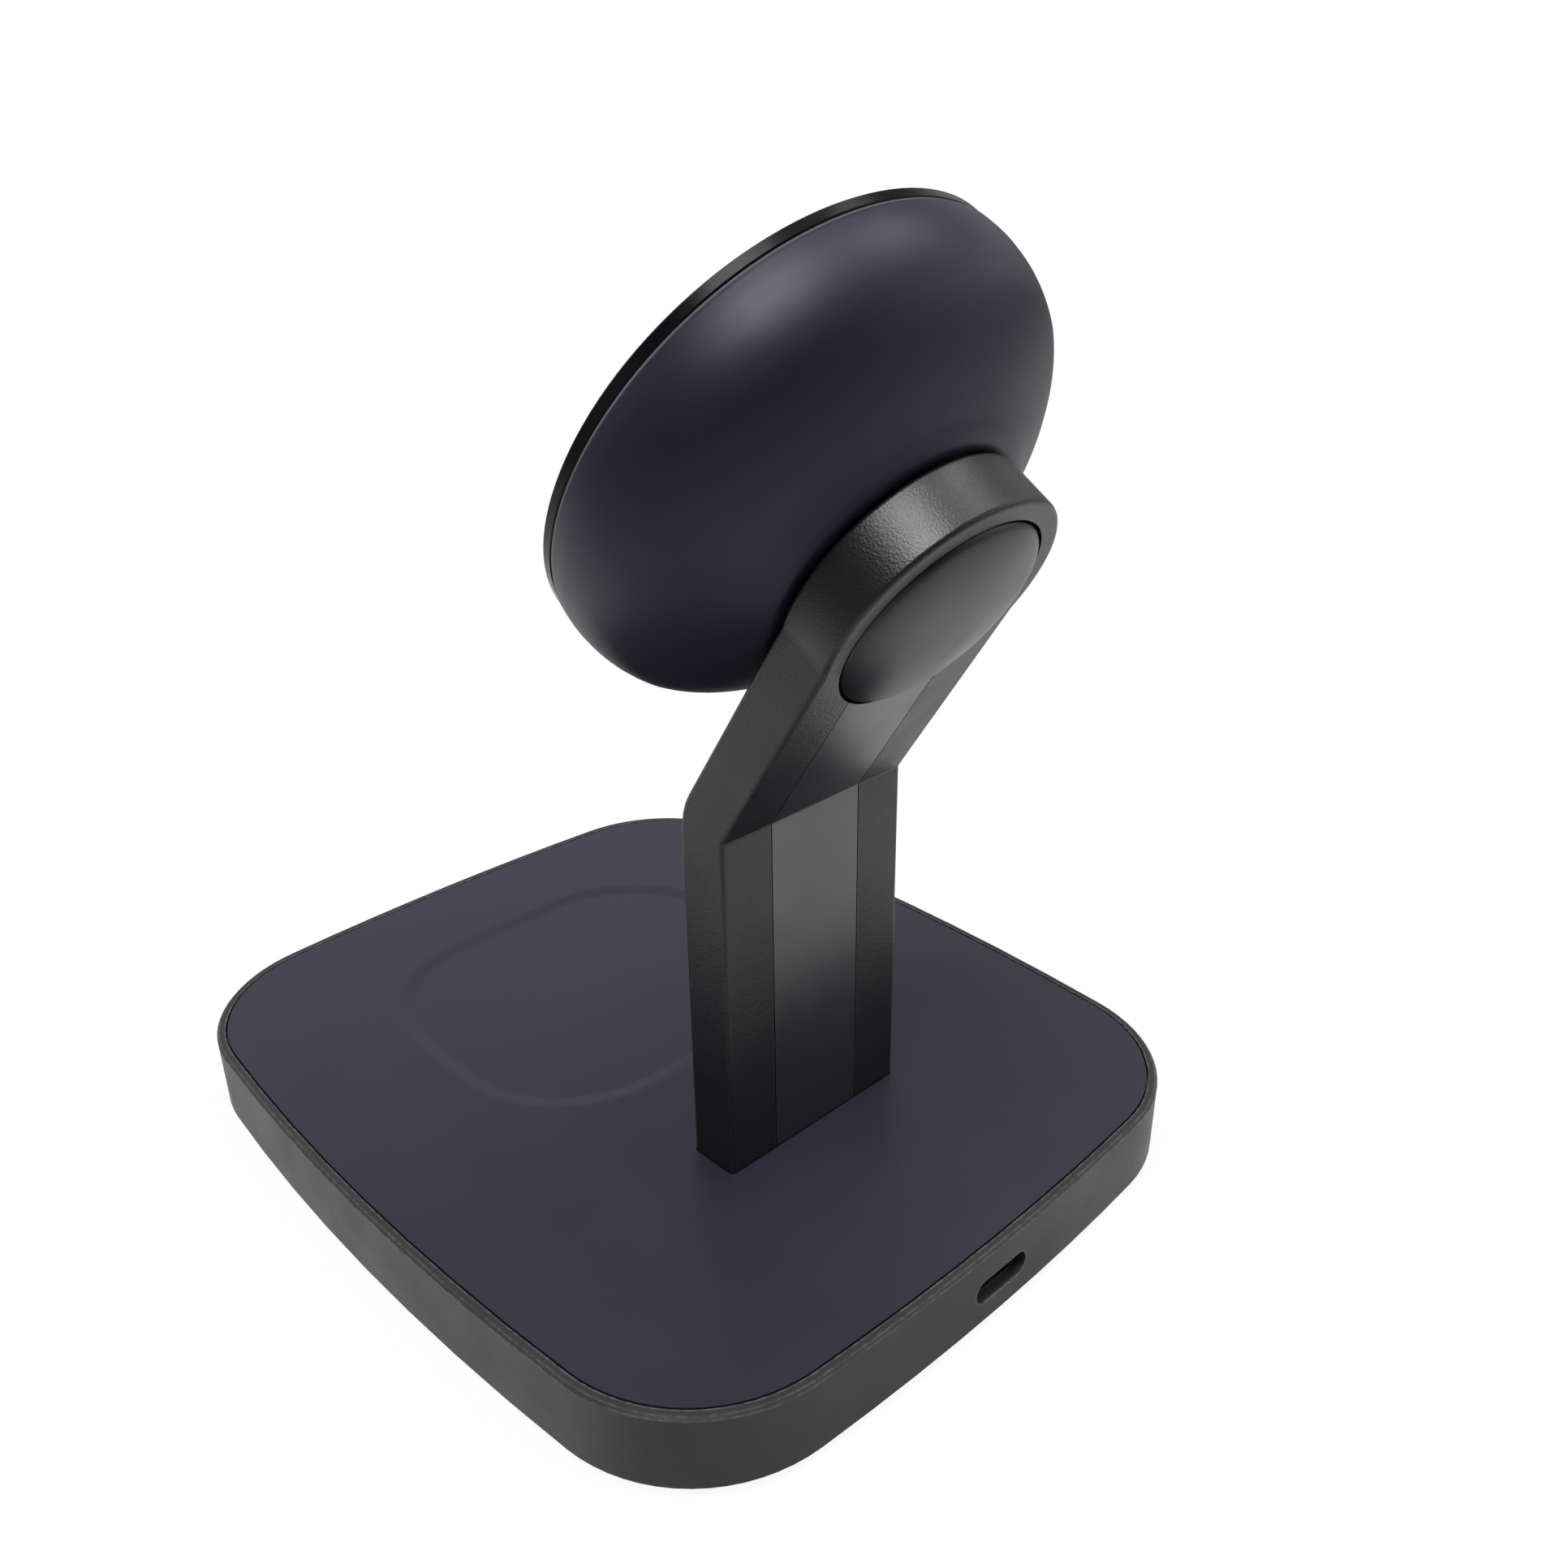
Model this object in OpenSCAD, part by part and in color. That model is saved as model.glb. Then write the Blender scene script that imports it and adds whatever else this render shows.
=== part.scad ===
// Magnetic wireless charging stand: a bowed square base with an earbud dish,
// a bent arm that ends in a ring, and a round charging head that turns in the ring.
// Millimetres. +Z is up, -Y is the front that the phone faces, and the origin is
// the middle of the base at the table.

/* [Base] */
// Width of the base, side to side
base_w = 100; // [94:1:115]
// Depth of the base, front to rear
base_d = 117; // [110:1:130]
// Height of the side wall
wall_h = 10.5; // [10:0.5:14]
// Radius of the four corners
corner_r = 21; // [18:1:26]
// Radius of the slightly bowed sides
side_bow_r = 385; // [300:5:700]
// Thickness of the side wall
wall_t = 2; // [1.7:0.1:2.6]
// Thickness of the deck under the top panel
deck_t = 1.5; // [1.2:0.1:2]
// Width of the rim round the top panel
rim_w = 1.2; // [0.9:0.1:1.5]
// Bevel on the rim's outer edge
rim_edge = 0.35; // [0.2:0.05:0.6]
// Bevel on the wall's bottom edge
foot_edge = 0.5; // [0.3:0.1:0.9]

/* [Bottom] */
// Thickness of the bottom plate
bottom_t = 2.5; // [2.3:0.1:3]
// Gap round the bottom plate
bottom_gap = 0.15; // [0.1:0.05:0.3]
// Thickness of the anti-slip foot ring
foot_t = 1.2; // [0.9:0.1:1.4]
// How far the foot ring stands out below the base
foot_proud = 0.5; // [0.3:0.1:0.7]
// Width of the foot ring's band
foot_w = 7; // [6.5:0.5:9]
// Distance from the base's outside to the foot ring
foot_inset = 4; // [3:0.5:6]
// Gap round the foot ring in its groove
foot_gap = 0.1; // [0.05:0.05:0.2]
// Diameter of the bosses for the bottom screws
boss_d = 6; // [5:0.5:7]
// Thread diameter of the bottom screws
base_screw_d = 2.6; // [2:0.1:3]
// Head diameter of the bottom screws
base_screw_head_d = 4.6; // [4.2:0.1:5]
// Head height of the bottom screws
base_screw_head_h = 0.9; // [0.7:0.1:1]
// Distance of the steel ballast plate from the base's sides and front
ballast_margin = 6; // [5:0.2:8]

/* [Top panel] */
// Thickness of the top panel
panel_t = 1; // [0.8:0.1:1.3]
// Width of the dark groove between panel and rim
panel_gap = 0.25; // [0.15:0.05:0.4]
// Width of the earbud dish
dish_w = 56; // [50:1:62]
// Front to rear length of the earbud dish
dish_d = 50; // [44:1:54]
// Corner radius of the earbud dish
dish_r = 19; // [12:1:22]
// Distance between the dish and the arm
dish_gap = 13.2; // [11:0.2:16]
// Depth of the earbud dish
dish_depth = 0.3; // [0.2:0.1:0.6]
// Width of the dish's soft edge
dish_slope = 3; // [1:0.2:4]

/* [Arm] */
// Width of the arm
arm_w = 29; // [26:0.5:29.5]
// Thickness of the arm and of its ring
arm_t = 7; // [6.8:0.1:8]
// Distance of the arm's rear face from the base's rear side
arm_back = 30.3; // [29:0.1:34]
// Height above the table at which the arm bends
bend_z = 56.5; // [45:0.5:70]
// Angle by which the upper arm leans to the rear
lean = 33; // [20:1:40]
// Radius of the bend on the arm's rear face
bend_r = 1.2; // [0.6:0.1:3]
// Bevel on the arm's long edges
arm_edge = 0.6; // [0.3:0.1:1]
// Gap round the arm where it passes through the panel and deck
slot_gap = 0.1; // [0.05:0.05:0.3]
// Width of the channel cover
cover_w = 14; // [12:0.5:17]
// Thickness of the channel cover
cover_t = 1.2; // [1:0.1:1.4]
// Seam on each side of the channel cover
cover_seam = 0.15; // [0.1:0.05:0.25]
// Width of the lead's slot under the channel cover
lead_slot_w = 9; // [6:0.5:11]
// Depth of the lead's slot under the channel cover
lead_slot_depth = 2.2; // [1.6:0.1:2.4]
// Width of the flat lead
lead_w = 4; // [3:0.5:5]
// Thickness of the flat lead
lead_t = 0.8; // [0.6:0.1:0.9]
// How far the flange at the arm's foot stands out on each side
flange_ear = 8.5; // [8:0.5:10]
// Front to rear length of the flange at the arm's foot
flange_d = 22; // [20:1:23]
// Thickness of the flange at the arm's foot
flange_t = 2.5; // [2.2:0.1:3]
// Distance of the arm screws from the arm's sides
arm_screw_out = 4.5; // [4:0.1:5]
// Spacing of the arm screws front to rear
arm_screw_y = 14; // [12:1:15]
// Thread diameter of the arm screws
arm_screw_d = 3; // [2.5:0.1:3.5]
// Head diameter of the arm screws
arm_screw_head_d = 5.5; // [5:0.1:6]

/* [Ring] */
// How far the ring at the arm's end stands out past the arm's sides
ring_over = 0.5; // [0.3:0.1:2]
// Distance from the bend to the ring's middle along the arm
ring_dist = 31.8; // [28:0.2:40]
// Width of the ring's rear face round the cap's gap
ring_face_w = 2.35; // [2:0.05:2.5]
// Gap round the rear cap
cap_gap = 0.3; // [0.2:0.05:0.5]
// Height of the rear cap's dome above the ring
cap_rise = 2.3; // [2:0.1:3.5]
// Depth below the ring's face at which the dome starts to curve
cap_shoulder = 0.4; // [0.2:0.1:0.8]
// Exponent of the dome's curve, 2 is an ellipse
cap_power = 2.2; // [2:0.1:3]
// Wall thickness of the rear cap
cap_wall = 1.2; // [1:0.1:1.3]
// Depth of the rear cap's seat below the ring's face
cap_seat = 1.5; // [1.3:0.1:1.6]
// Thickness of the wall across the ring that carries the spindle
web_t = 2.5; // [2.2:0.1:2.7]
// Depth of the thrust washer's recess in the ring's front
thrust_recess = 0.5; // [0.3:0.1:0.6]
// Distance of the thrust washer from the ring's outside
thrust_inset = 4.2; // [4:0.1:5]
// Axial play of the turning head against its washers
axial_play = 0.05; // [0.02:0.01:0.08]

/* [Spindle] */
// Outer diameter of the hollow spindle
spindle_d = 12; // [11:0.2:12.4]
// Bore of the hollow spindle
spindle_bore = 8; // [6:0.2:8.6]
// Radial running clearance of the spindle in the ring
running_gap = 0.05; // [0.03:0.01:0.09]
// Diameter of the spindle's flange inside the head
spindle_flange_d = 23; // [22:0.5:25]
// Thickness of the spindle's flange
spindle_flange_t = 1.5; // [1.2:0.1:2]
// Diameter of the spindle nut
nut_d = 16; // [15:0.2:16.4]
// Thickness of the spindle nut
nut_t = 1.8; // [1.5:0.1:1.9]
// Thickness of the flat washer under the nut
washer_t = 0.6; // [0.4:0.1:0.7]
// Sheet thickness of the disc spring
spring_t = 0.35; // [0.2:0.05:0.4]
// Diameter of the stop pin
stop_pin_d = 2; // [1.6:0.1:2.2]
// Distance of the stop pin's middle from the ring's outside
stop_pin_inset = 2; // [1.8:0.1:2.1]
// How far the stop pin reaches into the head
stop_pin_reach = 1.3; // [1:0.1:1.6]
// Angle that the head turns each way
turn_limit = 90; // [60:5:120]

/* [Head] */
// Distance from the ring's rear face to the front of the head
head_len = 26.8; // [26:0.2:30]
// Gap between the head and the ring
head_gap = 0.3; // [0.25:0.05:0.5]
// Largest diameter of the bowl
bowl_d = 59.6; // [56:0.2:66]
// How far the gloss rim stands back from the bowl's widest line
rim_step = 0.8; // [0.6:0.1:1.4]
// Thickness of the gloss rim
rim_t = 1.6; // [1.4:0.1:2]
// Bevel on the gloss rim's edges
rim_bevel = 0.25; // [0.1:0.05:0.4]
// How far the bowl draws in towards the rim
bowl_front_step = 0.6; // [0.4:0.1:0.8]
// Distance behind the rim at which the bowl is widest
bowl_widest = 3; // [2.5:0.1:4]
// How far the bowl's rear edge stands out past the ring
bowl_rear_over = 0.2; // [0:0.1:2]
// Exponent of the bowl's curve, 2 is an ellipse
bowl_power = 2.4; // [2.1:0.1:3]
// Thickness of the hub at the bowl's rear
hub_t = 3.5; // [3.2:0.1:4]
// Width of the gloss rim round the charging face
face_rim_w = 2.05; // [1.9:0.05:2.3]
// Gap round the charging face
face_gap = 0.1; // [0.05:0.05:0.2]
// Width of the ledge that carries the charging face
face_ledge = 1; // [0.8:0.1:1.2]
// Thickness of the charging face
face_t = 1.2; // [1:0.1:1.3]
// Wall of the bowl outside the rim's spigot
spigot_wall = 1.9; // [1.8:0.1:2.2]
// Thickness of the rim's spigot
spigot_t = 0.9; // [0.7:0.1:1]
// Gap round the spigot and the coil carrier
spigot_gap = 0.1; // [0.05:0.05:0.2]
// Width of the ledge that carries the coil carrier
carrier_ledge = 1.2; // [1:0.1:2]
// How much narrower the hollow is at the hub than at the coil carrier
cavity_taper = 7; // [6:0.5:9]
// Thickness of the coil carrier's floor
carrier_t = 1.2; // [1:0.1:1.5]
// Number of magnet segments
magnet_count = 16; // [12:1:18]
// Thickness of the magnets
magnet_t = 1.4; // [1:0.1:1.5]
// Radial width of the magnets
magnet_w = 3.4; // [3:0.1:3.6]
// Gap between the magnets and the spigot
magnet_gap = 0.4; // [0.3:0.1:0.6]
// Thickness of the steel ring behind the magnets
yoke_t = 0.4; // [0.3:0.1:0.6]
// Thickness of the wall between the magnets and the phone coil
carrier_wall = 1; // [0.8:0.1:1.2]
// Gap on each side of that wall
carrier_gap = 0.1; // [0.05:0.05:0.3]
// Gap between that wall and the phone coil
coil_gap = 0.5; // [0.4:0.1:0.8]
// Radial width of the phone coil
coil_w = 10.8; // [9:0.2:13]
// Thickness of the phone coil and of its ferrite disc
coil_t = 0.9; // [0.7:0.1:0.95]
// Number of turns in the phone coil
coil_turns = 10; // [8:1:14]
// How much smaller the head board is than the hollow at the hub
head_board_inset = 2; // [1.5:0.5:4]
// Height of the posts under the head board
head_post_h = 2; // [1.8:0.1:2.4]

/* [Electronics in the base] */
// Width of the charging port in the wall
port_w = 9.2; // [9.1:0.1:9.8]
// Height of the charging port in the wall
port_h = 3.3; // [3.2:0.05:3.6]
// How far the port's middle lies below the middle of the space inside the base
port_low = 0.25; // [0:0.05:0.35]
// Depth of the socket's mouth behind the wall's outside
port_recess = 1.3; // [0.8:0.1:1.6]
// Outer width of the socket's metal shell
socket_w = 8.94; // [8.9:0.01:9]
// Outer height of the socket's metal shell
socket_h = 3.16; // [3.1:0.01:3.17]
// Length of the socket
socket_len = 7.3; // [6.5:0.1:8]
// Sheet thickness of the socket's shell
socket_wall = 0.3; // [0.2:0.05:0.35]
// Width of the main board as a share of the base's width
board_share = 0.5; // [0.45:0.01:0.54]
// Front to rear length of the main board
board_d = 16.5; // [15:0.5:17]
// Thickness of the circuit boards
board_t = 1; // [0.8:0.1:1.2]
// Gap between the main board and the rear wall
board_gap = 1.4; // [1.2:0.1:2]
// Outer diameter of the earbud coil
bud_coil_od = 40; // [34:1:42]
// Inner diameter of the earbud coil
bud_coil_id = 14; // [10:1:18]
// Thickness of the earbud coil
bud_coil_t = 0.9; // [0.7:0.1:1]
// Side of the square ferrite sheet under the earbud coil
bud_ferrite = 44; // [42:1:48]
// Thickness of the ferrite sheet
bud_ferrite_t = 0.8; // [0.6:0.1:0.9]

/* [Hidden] */

$fn = 96;

// Overshoot of cutting shapes past the faces they cut
cut = 0.5;
// Play of a screw's thread in its hole
thread_play = 0.05;
// Free space above a seated screw head, and beyond a screw's end
screw_room = 0.1;

// Heights in the base, from the table up
bottom_z = foot_proud;
bottom_top = bottom_z + bottom_t;
groove_z = foot_t;
top_z = bottom_z + wall_h;
deck_top = top_z - panel_t;
deck_z = deck_top - deck_t;
ballast_top = deck_z - flange_t;
ballast_t = ballast_top - bottom_top;
port_z = (bottom_top + deck_z) / 2 - port_low;

// Places and sizes that follow from the ones above
arm_y = base_d / 2 - arm_back;
dish_y = arm_y - arm_t - dish_gap - dish_d / 2;
flange_w = arm_w + 2 * flange_ear;
arm_screw_x = arm_w + 2 * arm_screw_out;
ring_d = arm_w + 2 * ring_over;
cap_d = ring_d - 2 * (ring_face_w + cap_gap);
thrust_d = ring_d - 2 * thrust_inset;
stop_pin_r = ring_d / 2 - stop_pin_inset;
rim_d = bowl_d - 2 * rim_step;
bowl_front_d = bowl_d - 2 * bowl_front_step;
bowl_rear_d = ring_d + 2 * bowl_rear_over;
face_d = rim_d - 2 * (face_rim_w + face_gap);
spigot_d = rim_d - 2 * spigot_wall;
cavity_d = spigot_d + 2 * spigot_gap - 2 * carrier_ledge;
cavity_rear_d = cavity_d - 2 * cavity_taper;
magnet_od = spigot_d - 2 * (spigot_t + magnet_gap);
magnet_id = magnet_od - 2 * magnet_w;
coil_od = magnet_id - 2 * (carrier_gap + carrier_wall + coil_gap);
coil_id = coil_od - 2 * coil_w;
head_board_d = cavity_rear_d - 2 * head_board_inset;
board_w = base_w * board_share;

// Arc steps of the outlines
corner_steps = 16;
side_steps = 4;
small_steps = 6;
edge_steps = 3;
dish_steps = 6;
curve_steps = 28;

// Rounded forms written as point lists

function arc(c, r, a0, a1, n) =
  [for (i = [0:n]) c + r * [cos(a0 + (a1 - a0) * i / n), sin(a0 + (a1 - a0) * i / n)]];

// Centre of the corner arc that touches both bowed sides from inside
side_cx = side_bow_r - base_w / 2;
side_cy = side_bow_r - base_d / 2;
side_span = norm([side_cx, side_cy]);
corner_reach = sqrt(pow(side_bow_r - corner_r, 2) - pow(side_span / 2, 2));
corner_c = [-side_cx, -side_cy] / 2 + corner_reach * [side_cy, side_cx] / side_span;
corner_a0 = atan2(corner_c.y, corner_c.x + side_cx);
corner_a1 = atan2(corner_c.y + side_cy, corner_c.x);

function tail(list) = [for (i = [1:len(list) - 1]) list[i]];

function base_quarter(inset) = concat(
  arc([-side_cx, 0], side_bow_r - inset, 0, corner_a0, side_steps),
  tail(arc(corner_c, corner_r - inset, corner_a0, corner_a1, corner_steps)),
  tail(arc([0, -side_cy], side_bow_r - inset, corner_a1, 90, side_steps))
);

// A full outline from its first quarter, which runs from the X axis to the Y axis
function four_fold(q) = concat(
  [for (i = [0:len(q) - 2]) q[i]],
  [for (i = [len(q) - 1:-1:1]) [-q[i].x, q[i].y]],
  [for (i = [0:len(q) - 2]) -q[i]],
  [for (i = [len(q) - 1:-1:1]) [q[i].x, -q[i].y]]
);

function base_outline(inset) = four_fold(base_quarter(inset));

function round_box(w, d, r) = [
  for (k = [0:3]) each arc(
    [(k == 0 || k == 3 ? 1 : -1) * (w / 2 - r), (k < 2 ? 1 : -1) * (d / 2 - r)],
    r, 90 * k, 90 * k + 90, small_steps
  )
];

// Soft step from 0 to 1
function smooth(t) = t * t * (3 - 2 * t);

// Quarter of a superellipse from its equator to its pole: [radius, height]
function dome(r, h, power, a0, a1, n) =
  [for (i = [0:n]) let (a = a0 + (a1 - a0) * i / n)
    [r * pow(cos(a), 2 / power), h * pow(sin(a), 2 / power)]];

// Solid between outlines of equal point counts, one at each height
module loft(rings, heights) {
  n = len(rings[0]);
  last = len(rings) - 1;
  polyhedron(
    points = [for (k = [0:last]) for (p = rings[k]) [p.x, p.y, heights[k]]],
    faces = concat(
      [[for (i = [0:n - 1]) i]],
      [[for (i = [n - 1:-1:0]) last * n + i]],
      [for (k = [0:last - 1]) for (i = [0:n - 1])
        [(k + 1) * n + i, (k + 1) * n + (i + 1) % n, k * n + (i + 1) % n, k * n + i]]
    )
  );
}

module base_slab(inset, z0, z1) {
  translate([0, 0, z0]) linear_extrude(z1 - z0) polygon(base_outline(inset));
}

// Slot shape with round ends, w by h, extruded along Y from y0 to y1
module slot_bar(w, h, y0, y1) {
  translate([0, y1, 0]) rotate([90, 0, 0]) linear_extrude(y1 - y0) {
    for (s = [-1, 1]) translate([s * (w - h) / 2, 0]) circle(d = h);
    square([w - h, h], center = true);
  }
}

// Tube along Z
module tube(ro, ri, z0, z1) {
  translate([0, 0, z0]) difference() {
    cylinder(r = ro, h = z1 - z0);
    translate([0, 0, -cut]) cylinder(r = ri, h = z1 - z0 + 2 * cut);
  }
}

// Flat spiral coil, shown as grooved turns on one face
module flat_coil(od, id, t, turns, groove) {
  pitch = (od - id) / 2 / turns;
  rotate_extrude() polygon(concat(
    [[id / 2, 0], [od / 2, 0]],
    [for (i = [0:turns - 1]) for (p = [[0, -groove], [pitch / 4, 0], [pitch * 3 / 4, 0]])
      [od / 2 - i * pitch - p[0], t + p[1]]],
    [[id / 2, t - groove]]
  ));
}

// Cross recess in a screw head
module cross_recess(size, depth) {
  for (a = [0, 90]) rotate(a) translate([-size / 2, -size / 8, 0]) cube([size, size / 4, depth + cut]);
}

// Screw that points up: its head lies below z = 0 and its thread above
module pan_screw(d, len, head_d, head_h) {
  difference() {
    union() {
      translate([0, 0, -head_h]) cylinder(d = head_d, h = head_h);
      cylinder(r = d / 2 - thread_play, h = len);
    }
    translate([0, 0, -head_h]) mirror([0, 0, 1]) translate([0, 0, -head_h / 2])
      cross_recess(head_d * 0.6, head_h / 2);
  }
}

// Base

foot_mid = foot_inset + foot_w / 2;
boss_x = corner_c.x + (corner_r - foot_mid) * cos(45);
boss_y = corner_c.y + (corner_r - foot_mid) * sin(45);
base_screw_seat = groove_z + base_screw_head_h + screw_room;
base_screw_end = deck_z - screw_room;

module at_bosses() {
  for (sx = [-1, 1]) for (sy = [-1, 1]) translate([sx * boss_x, sy * boss_y, 0]) children();
}

module arm_slot(z0, z1) {
  translate([0, arm_y, z0]) linear_extrude(z1 - z0) arm_section(-slot_gap);
}

module base_shell() {
  color([0.22, 0.22, 0.23]) difference() {
    union() {
      difference() {
        loft(
          [base_outline(foot_edge), base_outline(0), base_outline(0), base_outline(rim_edge)],
          [bottom_z, bottom_z + foot_edge, top_z - rim_edge, top_z]
        );
        base_slab(rim_w, deck_top, top_z + cut);
        base_slab(wall_t, bottom_z - cut, deck_z);
      }
      at_bosses() translate([0, 0, bottom_top]) cylinder(d = boss_d, h = deck_z - bottom_top + deck_t / 2);
    }
    at_bosses() translate([0, 0, bottom_top - cut])
      cylinder(d = base_screw_d, h = base_screw_end + 2 * screw_room - bottom_top + cut);
    arm_slot(deck_z - cut, deck_top + cut);
    translate([0, 0, port_z]) slot_bar(port_w, port_h, base_d / 2 - 2 * wall_t, base_d / 2 + cut);
  }
}

// The dish's soft edge, in steps from its floor up to the panel
dish_parts = [for (i = [0:dish_steps]) i / dish_steps];

function dish_outline(inset) = round_box(dish_w - 2 * inset, dish_d - 2 * inset, dish_r - inset);

module top_panel() {
  color([0.23, 0.22, 0.26]) difference() {
    base_slab(rim_w + panel_gap, deck_top, top_z);
    arm_slot(deck_top - cut, top_z + cut);
    translate([0, dish_y, 0]) loft(
      concat([for (t = dish_parts) dish_outline(dish_slope * (1 - t))], [dish_outline(0)]),
      concat([for (t = dish_parts) top_z - dish_depth * (1 - smooth(t))], [top_z + cut])
    );
  }
}

board_y1 = base_d / 2 - wall_t - board_gap;
board_y0 = board_y1 - board_d;
board_z = port_z - board_t / 2;
board_corner_r = 1.5;
board_top = board_z + board_t;
post_d = 5;
post_x = board_w / 2 - 0.8 * post_d;
post_y = board_y0 + post_d;
board_screw_d = 0.4 * post_d;
board_screw_len = board_z - bottom_top + board_t + bottom_t / 2;
// Height of the tall parts on the board, width of its chips, inductor and capacitors
part_h = deck_z - board_top - board_t / 2;
chip_w = board_d / 4;
inductor_w = board_d / 3.5;
can_d = board_d / 6.5;
// Head of a small screw, as shares of its thread's diameter
small_head_d = 1.8;
small_head_h = 0.6;

module at_posts() {
  for (s = [-1, 1]) translate([s * post_x, post_y, 0]) children();
}

module bottom_plate() {
  color([0.16, 0.16, 0.17]) difference() {
    union() {
      base_slab(wall_t + bottom_gap, bottom_z, bottom_top);
      at_posts() translate([0, 0, bottom_top - cut]) cylinder(d = post_d, h = board_z - bottom_top + cut);
    }
    difference() {
      base_slab(foot_inset, bottom_z - cut, groove_z);
      base_slab(foot_inset + foot_w, bottom_z - 2 * cut, groove_z + cut);
    }
    at_bosses() {
      cylinder(d = base_screw_head_d + 4 * thread_play, h = base_screw_seat);
      cylinder(d = base_screw_d + 4 * thread_play, h = bottom_top + cut);
    }
    at_posts() translate([0, 0, board_top - board_screw_len - screw_room])
      cylinder(d = board_screw_d, h = board_screw_len + cut);
  }
}

module foot_ring() {
  color([0.1, 0.1, 0.1]) difference() {
    base_slab(foot_inset + foot_gap, 0, foot_t);
    base_slab(foot_inset + foot_w - foot_gap, -cut, foot_t + cut);
  }
}

ballast_y1 = arm_y - arm_t / 2 + flange_d / 2;
ballast_y0 = ballast_margin - base_d / 2;
ballast_w = base_w - 2 * ballast_margin;
ballast_d = ballast_y1 - ballast_y0;
boss_room = 0.8;

module at_arm_screws() {
  for (sx = [-1, 1]) for (sy = [-1, 1])
    translate([sx * arm_screw_x / 2, arm_y - arm_t / 2 + sy * arm_screw_y / 2, bottom_top]) children();
}

arm_screw_head_h = (arm_screw_head_d - arm_screw_d) / 2;

module ballast_plate() {
  color([0.55, 0.56, 0.58]) difference() {
    translate([0, (ballast_y0 + ballast_y1) / 2, bottom_top]) linear_extrude(ballast_t)
      polygon(round_box(ballast_w, ballast_d, corner_r / 2));
    at_bosses() translate([0, 0, bottom_top - cut]) cylinder(d = boss_d + 2 * boss_room, h = ballast_t + 2 * cut);
    at_arm_screws() {
      translate([0, 0, -cut]) cylinder(d = arm_screw_d + 4 * thread_play, h = ballast_t + 2 * cut);
      arm_screw_head(2 * thread_play);
    }
  }
}

module arm_screw_head(room) {
  cylinder(d1 = arm_screw_head_d + 2 * room, d2 = arm_screw_d + 2 * room, h = arm_screw_head_h);
}

module arm_screws() {
  color([0.6, 0.6, 0.62]) at_arm_screws() difference() {
    union() {
      arm_screw_head(0);
      cylinder(r = arm_screw_d / 2 - thread_play, h = ballast_t + flange_t - screw_room);
    }
    mirror([0, 0, 1]) translate([0, 0, -arm_screw_head_h / 2]) cross_recess(arm_screw_d, arm_screw_head_h / 2);
  }
}

module base_screws() {
  color([0.6, 0.6, 0.62]) at_bosses() translate([0, 0, base_screw_seat])
    pan_screw(base_screw_d, base_screw_end - base_screw_seat, base_screw_head_d, base_screw_head_h);
}

// Arm: a section swept up the vertical part, round the bend and up the leaning part

// How much smaller the bend's section is, and the angle by which it overlaps the straight parts
bend_inset = 0.01;
bend_lap = 0.5;
bend_tangent = bend_r * tan(lean / 2);
bend_start_z = bend_z - bend_tangent;
ring_z = ring_dist - bend_tangent;
channel_depth = cover_t + lead_slot_depth;
recess_r = cap_d / 2 + cap_gap;
skirt_r = cap_d / 2 - cap_wall;
pocket_r = skirt_r + 0.05;
pocket_z = -arm_t + thrust_recess + web_t;
// Height of the disc spring as fitted, and the parts of the stack above it
spring_h = 0.75;
nut_top = pocket_z + axial_play + spring_h + washer_t + nut_t;
// Depth of the stop pin's hole in the ring
stop_pin_hold = 4;

// Frame of the leaning part: Z runs up the arm, and Y = 0 is its rear face
module upper_frame() {
  translate([0, arm_y + bend_r, bend_start_z]) rotate([-lean, 0, 0]) translate([0, -bend_r, 0]) children();
}

// Frame of the ring: Z runs out of its rear face, and -Y points up the arm
module ring_frame() {
  upper_frame() translate([0, 0, ring_z]) rotate([-90, 0, 0]) children();
}

// Sweeps a section along the arm: the first child makes the straight parts, and the
// second, a hair smaller, makes the bend, whose ends reach into the straight parts
module sweep_arm(z0, upper_len) {
  translate([0, arm_y, z0]) linear_extrude(bend_start_z - z0) children(0);
  translate([0, arm_y + bend_r, bend_start_z]) rotate([90, 0, -90]) rotate(-bend_lap)
    rotate_extrude(angle = lean + 2 * bend_lap) translate([bend_r, 0]) rotate(90) children(1);
  upper_frame() linear_extrude(upper_len) children(0);
}

module rear_strip(w, depth, inset = 0) {
  translate([-w / 2 + inset, -depth + inset]) square([w - 2 * inset, depth - 2 * inset]);
}

module arm_section(inset = 0) {
  e = arm_edge;
  r = e - inset;
  polygon(concat(
    arc([arm_w / 2 - e, -e], r, 0, 90, edge_steps),
    arc([-arm_w / 2 + e, -e], r, 90, 180, edge_steps),
    arc([-arm_w / 2 + e, -arm_t + e], r, 180, 270, edge_steps),
    arc([arm_w / 2 - e, -arm_t + e], r, 270, 360, edge_steps)
  ));
}

module ring_disc() {
  e = arm_edge;
  r = ring_d / 2;
  rotate_extrude() polygon(concat(
    [[0, -arm_t]],
    arc([r - e, -arm_t + e], e, -90, 0, edge_steps),
    arc([r - e, -e], e, 0, 90, edge_steps),
    [[0, 0]]
  ));
}

// Section of the channel, open past the rear face so that no skin is left
module channel_section(inset = 0) {
  slot_w = cover_w + 2 * cover_seam;
  over = min(cut, bend_r / 2);
  rear_strip(slot_w, cover_t, inset);
  rear_strip(lead_slot_w, channel_depth, inset);
  translate([-slot_w / 2 + inset, -cover_t / 2]) square([slot_w - 2 * inset, cover_t / 2 + over]);
}

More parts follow.
